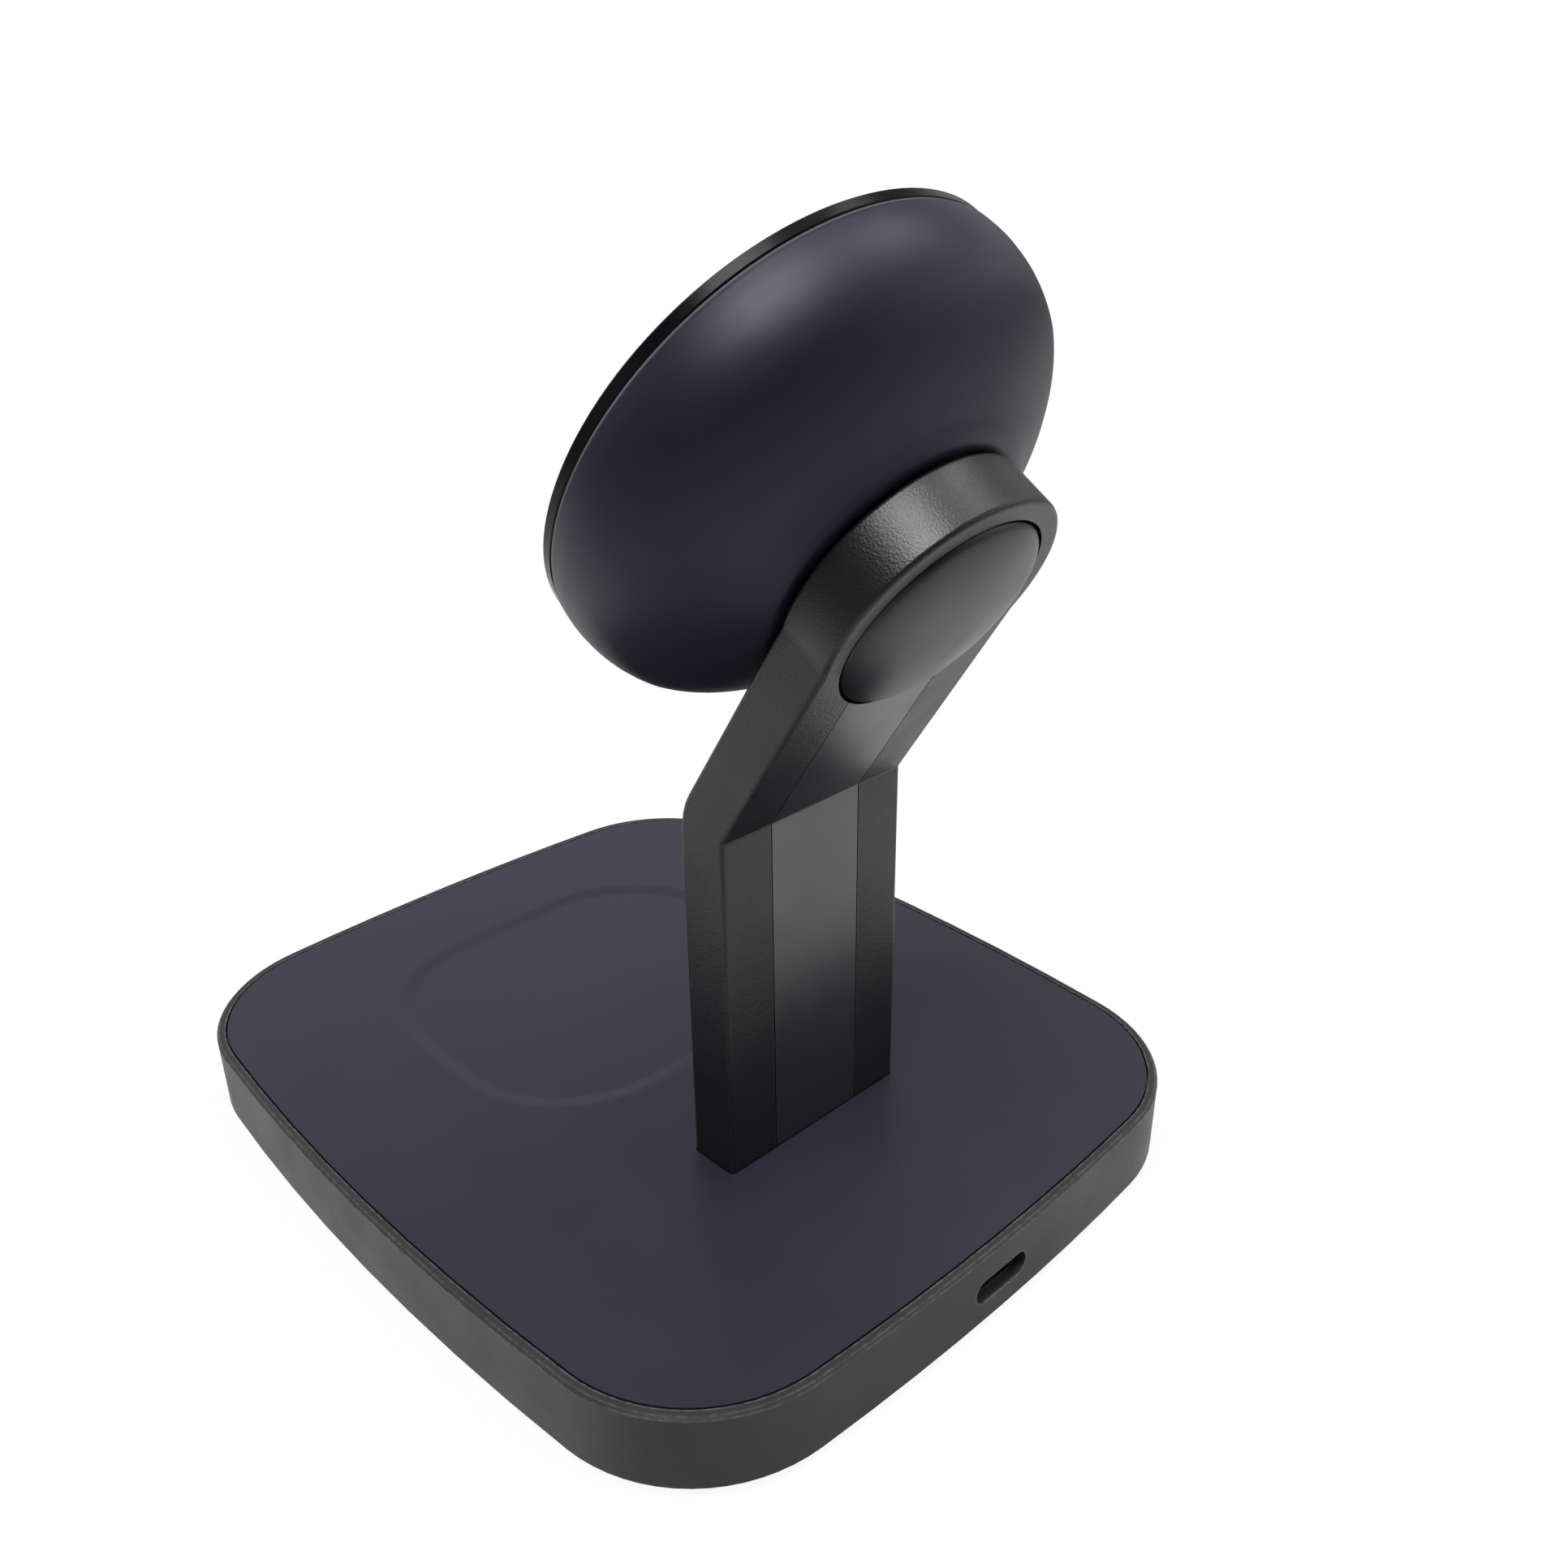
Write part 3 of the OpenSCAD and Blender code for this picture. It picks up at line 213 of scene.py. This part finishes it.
BLUE_SHEEN = (0.92, 0.88, 1.0)
panel = soft_touch("panel_soft_touch", (0.018, 0.0155, 0.030), 0.43, 0.62, BLUE_SHEEN)
panel.specks(0.009, 0.04, (0.065, 0.063, 0.075))
bowl = soft_touch("bowl_soft_touch", (0.0075, 0.0062, 0.0170), 0.45, 0.42, BLUE_SHEEN)
# Painted highlight: a fine light line round the bowl's front edge
bowl.painted_front_highlight((0.09, 0.09, 0.10))
bowl.specks(0.006, 0.10, (0.12, 0.12, 0.14))
wall = sand_coat("wall_fine_coat", (0.014, 0.014, 0.014), 0.48, 0.5, 0.0003, 0.00005)
# Painted light: the wall's upward faces lighter
wall.painted_top_light((0.022, 0.022, 0.024))
# Painted highlight, with a little rubbed coat, along the wall's sharp edge
wall.edges(0.0005, (0.20, 0.20, 0.20), 0.8)
arm = sand_coat("arm_sand_coat", (0.0055, 0.0055, 0.0065), 0.37, 0.54, 0.00024, 0.00007)
# Painted highlight, with a little rubbed coat, along the arm's sharp edge
arm.edges(0.0004, (0.08, 0.08, 0.085), 0.5)
cover = sand_coat("cover_satin_coat", (0.005, 0.005, 0.008), 0.33, 1.25, 0.0002, 0.000006)
cap = sand_coat("cap_satin_coat", (0.007, 0.007, 0.009), 0.38, 0.6, 0.0002, 0.000006)
gloss = Look("rim_gloss_black", (0.004, 0.004, 0.005), 0.22, 0.0, 0.11)
gloss.vary_rough(0.004, 0.03)
gloss.bump(gloss.noise(0.004, 2), 0.000004, 0.3)
gloss.specks(0.004, 0.12, (0.3, 0.3, 0.3))
pad = soft_touch("face_pad", (0.02, 0.02, 0.024), 0.6, 0.35)
rubber = plain("foot_rubber", (0.016, 0.016, 0.016), 0.75, 0.0, 0.0003, 0.00002)
plastic = plain("dark_plastic", (0.02, 0.02, 0.021), 0.5)
acetal = plain("pale_plastic", (0.6, 0.59, 0.55), 0.4)
steel = plain("plated_steel", (0.55, 0.56, 0.58), 0.35, 1.0)
socket = plain("socket_steel", (0.5, 0.5, 0.52), 0.3, 1.0)
nickel = plain("nickel", (0.62, 0.61, 0.58), 0.25, 1.0)
brass = plain("turned_brass", (0.65, 0.5, 0.25), 0.3, 1.0)
copper = plain("enamelled_copper", (0.6, 0.27, 0.12), 0.35, 1.0)
ferrite = plain("ferrite", (0.05, 0.05, 0.053), 0.6)
chip = plain("chip_resin", (0.012, 0.012, 0.012), 0.45)
tin = plain("can_metal", (0.7, 0.7, 0.7), 0.35, 1.0)
board = plain("board_resist", (0.01, 0.09, 0.045), 0.35)
lead = plain("lead_insulation", (0.015, 0.015, 0.016), 0.55)

LOOKS = {
    "base_shell": wall,
    "top_panel": panel,
    "bottom_plate": plastic,
    "foot_ring": rubber,
    "ballast_plate": steel,
    "base_screws": steel,
    "arm_frame": arm,
    "arm_screws": steel,
    "channel_cover": cover,
    "arm_lead": lead,
    "lead_plug": acetal,
    "main_board": board,
    "board_screws": steel,
    "board_chips": chip,
    "power_inductor": ferrite,
    "capacitors": tin,
    "usb_c_shell": socket,
    "usb_c_tongue": chip,
    "earbud_coil": copper,
    "earbud_ferrite": ferrite,
    "rear_cap": cap,
    "thrust_washer": acetal,
    "stop_pin": steel,
    "head_spindle": steel,
    "spindle_nut": brass,
    "flat_washer": steel,
    "disc_spring": steel,
    "spindle_screws": steel,
    "head_shell": bowl,
    "rim_ring": gloss,
    "charging_face": pad,
    "coil_carrier": acetal,
    "magnet_segments": nickel,
    "magnet_yoke": steel,
    "phone_coil": copper,
    "coil_ferrite": ferrite,
    "head_board": board,
    "head_board_screws": steel,
    "head_chips": chip,
    "head_lead": lead,
}
for name, look in LOOKS.items():
    mesh = nodes[name].data
    mesh.materials.clear()
    mesh.materials.append(look.mat)


# Edges up to this angle are shaded as smooth
SMOOTH_DEGREES = 35
# Steps per unit, and per metre, in which normals, distances and points count as the same
NORMAL_STEPS = 500
OFFSET_STEPS = 50000
POINT_STEPS = 1e6
# A sum of normals shorter than this, in square metres, comes from slivers without area
NO_AREA = 1e-20


def smooth(mesh):
    """Shading that blends across gentle angles, led by the larger flat area."""
    mesh.shade_smooth()
    n = len(mesh.polygons)
    normal = np.empty(n * 3)
    area = np.empty(n)
    mesh.polygons.foreach_get("normal", normal)
    mesh.polygons.foreach_get("area", area)
    normal = normal.reshape(n, 3)
    co = np.empty(len(mesh.vertices) * 3)
    mesh.vertices.foreach_get("co", co)
    co = co.reshape(-1, 3)
    start = np.empty(n, dtype=int)
    mesh.polygons.foreach_get("loop_start", start)
    vert = np.empty(len(mesh.loops), dtype=int)
    mesh.loops.foreach_get("vertex_index", vert)
    count = np.diff(np.append(start, len(vert)))
    face = np.repeat(np.arange(n), count)
    # Area of all coplanar faces together, so that a large flat keeps its own normal
    offset = (normal * co[vert[start]]).sum(1)
    plane = np.column_stack([normal * NORMAL_STEPS, offset * OFFSET_STEPS])
    plane = np.round(plane).astype(int)
    _, group = np.unique(plane, axis=0, return_inverse=True)
    weight = np.bincount(group.ravel(), area)[group.ravel()]
    points = np.round(co * POINT_STEPS).astype(int)
    _, spot = np.unique(points, axis=0, return_inverse=True)
    place = spot.ravel()[vert]
    order = np.argsort(place, kind="stable")
    cuts = np.flatnonzero(np.diff(place[order])) + 1
    limit = math.cos(math.radians(SMOOTH_DEGREES))
    result = np.empty((len(vert), 3))
    for loops in np.split(order, cuts):
        f = face[loops]
        near = normal[f] @ normal[f].T >= limit
        result[loops] = (near * weight[f]) @ normal[f]
    length = np.linalg.norm(result, axis=1, keepdims=True)
    # A sliver gives no direction and keeps its own normal
    blended = result / np.maximum(length, NO_AREA)
    result = np.where(length > NO_AREA, blended, normal[face])
    mesh.normals_split_custom_set(result.tolist())


# The bowl as the photo's outline has it, its outer wall up to 2.2 mm nearer to the axis than
# its solid's: distance along the ring's axis from RING_MIDDLE, the solid's radius there and the
# photo's, in mm
BOWL_PROFILE = (
    (-25.2, 28.95, 28.95), (-24.7, 29.36, 29.10), (-23.7, 29.65, 29.20), (-22.2, 29.80, 29.25),
    (-20.0, 29.70, 28.95), (-18.0, 29.32, 28.35), (-16.0, 28.55, 27.40), (-14.0, 27.28, 25.70),
    (-12.0, 25.33, 23.30), (-10.0, 22.40, 20.20), (-8.6, 19.39, 17.55), (-7.3, 15.20, 15.20),
)
# What lies this near to the solid's outside, in metres, is its outer wall
OUTER_WALL = 0.0003
# The bowl's rear face, this near to its end, stays as it is
REAR_FACE = 1e-5


def slim_bowl():
    """A copy of the head's shell with its outer wall drawn in; it takes the shell's place."""
    source = nodes["head_shell"]
    mesh = source.data.copy()
    co = np.empty(len(mesh.vertices) * 3)
    mesh.vertices.foreach_get("co", co)
    frame4 = np.array(source.matrix_world)
    world = co.reshape(-1, 3) @ frame4[:3, :3].T + frame4[:3, 3]
    away = world - RING_MIDDLE
    along = away @ RING_AXIS
    out = away - along[:, None] * RING_AXIS
    radius = np.linalg.norm(out, axis=1)
    at, solid, photo = (np.array(v) / 1000 for v in zip(*BOWL_PROFILE))
    old = np.interp(along, at, solid)
    outside = (radius > old - OUTER_WALL) & (along < at[-1] - REAR_FACE)
    new = radius + np.interp(along, at, photo - solid)
    scale = np.where(outside, new / np.maximum(radius, 1e-9), 1.0)
    world = RING_MIDDLE + along[:, None] * RING_AXIS + out * scale[:, None]
    local = (world - frame4[:3, 3]) @ np.linalg.inv(frame4[:3, :3]).T
    mesh.vertices.foreach_set("co", local.ravel())
    mesh.update()
    o = bpy.data.objects.new("bowl_shell", mesh)
    o.matrix_world = source.matrix_world.copy()
    scene.collection.objects.link(o)
    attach(o, "head")
    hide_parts("head_shell")
    smooth(mesh)


slim_bowl()
for name in LOOKS:
    if name != "head_shell":
        smooth(nodes[name].data)


class Graph:
    """Shorthand for a node tree."""

    def __init__(self, owner):
        owner.use_nodes = True
        self.tree = owner.node_tree
        self.tree.nodes.clear()

    def new(self, kind):
        return self.tree.nodes.new(kind)

    def put(self, socket, value):
        if isinstance(value, (int, float, tuple)):
            socket.default_value = value
        else:
            self.tree.links.new(value, socket)

    def math(self, op, a, b=0.0):
        m = self.new("ShaderNodeMath")
        m.operation = op
        self.put(m.inputs[0], a)
        self.put(m.inputs[1], b)
        return m.outputs[0]

    def dot(self, vector, direction):
        m = self.new("ShaderNodeVectorMath")
        m.operation = "DOT_PRODUCT"
        self.put(m.inputs[0], vector)
        self.put(m.inputs[1], tuple(direction))
        return m.outputs["Value"]

    def step(self, value, a0, a1, b0, b1):
        """Soft step: b0 at a0, b1 at a1."""
        m = self.new("ShaderNodeMapRange")
        m.interpolation_type = "SMOOTHSTEP"
        for key, v in (("From Min", a0), ("From Max", a1), ("To Min", b0), ("To Max", b1)):
            m.inputs[key].default_value = v
        self.put(m.inputs["Value"], value)
        return m.outputs["Result"]


def towards(azimuth, elevation):
    """Direction from the object, in degrees; azimuth 0 is the front, -Y, and 90 is +X."""
    a, e = math.radians(azimuth), math.radians(elevation)
    return Vector((math.sin(a) * math.cos(e), -math.cos(a) * math.cos(e), math.sin(e)))


# Floor: white, keeps the shadow. Its glow, as it mirrors in the object, is darker on the side
# where the photographer stood (painted shade), farther off, and close behind the base (a
# painted contact shadow of the base).
FLOOR_HALF = 6
# Just below the feet, so that the two faces don't coincide
FLOOR_Z = -0.0002
FLOOR_COLOUR = 0.86
# Share of plain white that the camera sees, near the object and farther off
WHITE_NEAR, WHITE_FAR = 0.93, 1.0
WHITE_FROM, WHITE_TO = 0.25, 0.7
# Share of glow in what mirrors
MIRRORED_GLOW = 0.85
PHOTOGRAPHER_SIDE = 120
SIDE_DIM, FAR_DIM, BEHIND_SHADOW_DIM = 0.75, 0.5, 0.45


def make_floor():
    mesh = bpy.data.meshes.new("floor")
    s, z = FLOOR_HALF, FLOOR_Z
    mesh.from_pydata([(-s, -s, z), (s, -s, z), (s, s, z), (-s, s, z)], [], [(0, 1, 2, 3)])
    o = bpy.data.objects.new("floor", mesh)
    scene.collection.objects.link(o)
    mat = bpy.data.materials.new("floor_white")
    g = Graph(mat)
    out = g.new("ShaderNodeOutputMaterial")
    diffuse = g.new("ShaderNodeBsdfDiffuse")
    diffuse.inputs["Color"].default_value = (FLOOR_COLOUR, FLOOR_COLOUR, FLOOR_COLOUR, 1)
    glow = g.new("ShaderNodeEmission")
    glow.inputs["Color"].default_value = (1, 1, 1, 1)
    path = g.new("ShaderNodeLightPath")
    place = g.new("ShaderNodeTexCoord").outputs["Object"]
    glossy, through = path.outputs["Is Glossy Ray"], path.outputs["Is Transmission Ray"]
    mirrored = g.math("MAXIMUM", glossy, through)
    away = g.new("ShaderNodeVectorMath")
    away.operation = "LENGTH"
    g.put(away.inputs[0], place)
    away = away.outputs["Value"]
    # Painted shade in the floor's glow, on the side where the photographer stood
    side = g.step(g.dot(place, towards(PHOTOGRAPHER_SIDE, 0)), 0.03, 0.22, 0.0, SIDE_DIM)
    far = g.step(away, 0.15, 1.0, 0.0, FAR_DIM)
    split = g.new("ShaderNodeSeparateXYZ")
    g.put(split.inputs[0], place)
    x, y = split.outputs["X"], split.outputs["Y"]
    # Painted contact shadow of the base in the floor's glow, close behind its rear wall
    rises, falls = g.step(y, 0.03, 0.055, 0.0, 1.0), g.step(y, 0.056, 0.09, 1.0, 0.0)
    behind = g.math("MULTIPLY", rises, falls)
    near = g.math("MULTIPLY", behind, g.step(x, -0.03, 0.0, 0.0, BEHIND_SHADOW_DIM))
    dimmer = g.math("MAXIMUM", g.math("MAXIMUM", side, far), near)
    strength = g.math("SUBTRACT", 1.0, g.math("MULTIPLY", mirrored, dimmer))
    g.put(glow.inputs["Strength"], strength)
    white = g.step(away, WHITE_FROM, WHITE_TO, WHITE_NEAR, WHITE_FAR)
    seen = g.math("MULTIPLY", path.outputs["Is Camera Ray"], white)
    mix = g.new("ShaderNodeMixShader")
    g.put(mix.inputs[0], g.math("MAXIMUM", g.math("MULTIPLY", mirrored, MIRRORED_GLOW), seen))
    g.put(mix.inputs[1], diffuse.outputs[0])
    g.put(mix.inputs[2], glow.outputs[0])
    g.put(out.inputs["Surface"], mix.outputs[0])
    mesh.materials.append(mat)


make_floor()


# Room: dark at the horizon, bright a little above it and overhead, dim between, with a soft
# light behind the object on the -X side, and dark where the photographer stood. The camera
# sees it white.
# Height of the direction, from 0 at the horizon to 1 overhead, and brightness there
ROOM_STOPS = [
    (0.0, 0.1), (0.2, 0.5), (0.42, 0.8), (0.55, 0.35), (0.66, 0.08), (0.8, 0.15), (0.92, 0.8),
]
SIDE_LIGHT = (236, 33)
SIDE_LIGHT_LEVEL = 0.5
PHOTOGRAPHER = (125, 8)
PHOTOGRAPHER_LEVEL = 0.12


def make_room():
    world = bpy.data.worlds.new("studio")
    scene.world = world
    g = Graph(world)
    out = g.new("ShaderNodeOutputWorld")
    back = g.new("ShaderNodeBackground")
    direction = g.new("ShaderNodeTexCoord").outputs["Generated"]
    split = g.new("ShaderNodeSeparateXYZ")
    g.put(split.inputs[0], direction)
    ramp = g.new("ShaderNodeValToRGB")
    g.put(ramp.inputs["Fac"], split.outputs["Z"])
    while len(ramp.color_ramp.elements) < len(ROOM_STOPS):
        ramp.color_ramp.elements.new(0.5)
    for e, (pos, v) in zip(ramp.color_ramp.elements, ROOM_STOPS):
        e.position = pos
        e.color = (v, v, v, 1)
    side = g.step(g.dot(direction, towards(*SIDE_LIGHT)), 0.80, 0.98, 0.0, SIDE_LIGHT_LEVEL)
    dark = g.step(g.dot(direction, towards(*PHOTOGRAPHER)), 0.2, 0.7, 1.0, PHOTOGRAPHER_LEVEL)
    light = g.math("ADD", g.math("MULTIPLY", ramp.outputs["Color"], dark), side)
    path = g.new("ShaderNodeLightPath")
    g.put(back.inputs["Strength"], g.math("MAXIMUM", light, path.outputs["Is Camera Ray"]))
    back.inputs["Color"].default_value = (1, 1, 1, 1)
    g.put(out.inputs["Surface"], back.outputs[0])


make_room()


# The lamps point here
LAMP_AIM = Vector((0, 0.02, 0.06))


def lamp(name, azimuth, elevation, distance, size, watts):
    """Round soft lamp in that direction from the object."""
    back = towards(azimuth, elevation)
    data = bpy.data.lights.new(name, "AREA")
    data.shape = "DISK"
    data.size = size
    data.energy = watts
    o = bpy.data.objects.new(name, data)
    o.location = LAMP_AIM + back * distance
    o.rotation_mode = "QUATERNION"
    o.rotation_quaternion = (-back).to_track_quat("-Z", "Y")
    scene.collection.objects.link(o)


lamp("key", 111, 68, 1.2, 0.7, 13.5)
lamp("top", 252, 62, 1.4, 0.6, 4)

# Camera, fitted to the photograph
CAMERA_PLACE = (0.104345, 0.131192, 0.129432)
CAMERA_TURN = (64.3298, 0.5837, 135.7708)
cam_data = bpy.data.cameras.new("camera")
cam_data.sensor_width = 36
cam_data.lens = 32.824
cam_data.clip_start = 0.01
cam_data.clip_end = 100
cam = bpy.data.objects.new("camera", cam_data)
cam.location = CAMERA_PLACE
cam.rotation_euler = Euler([math.radians(v) for v in CAMERA_TURN], "XYZ")
scene.collection.objects.link(cam)
scene.camera = cam
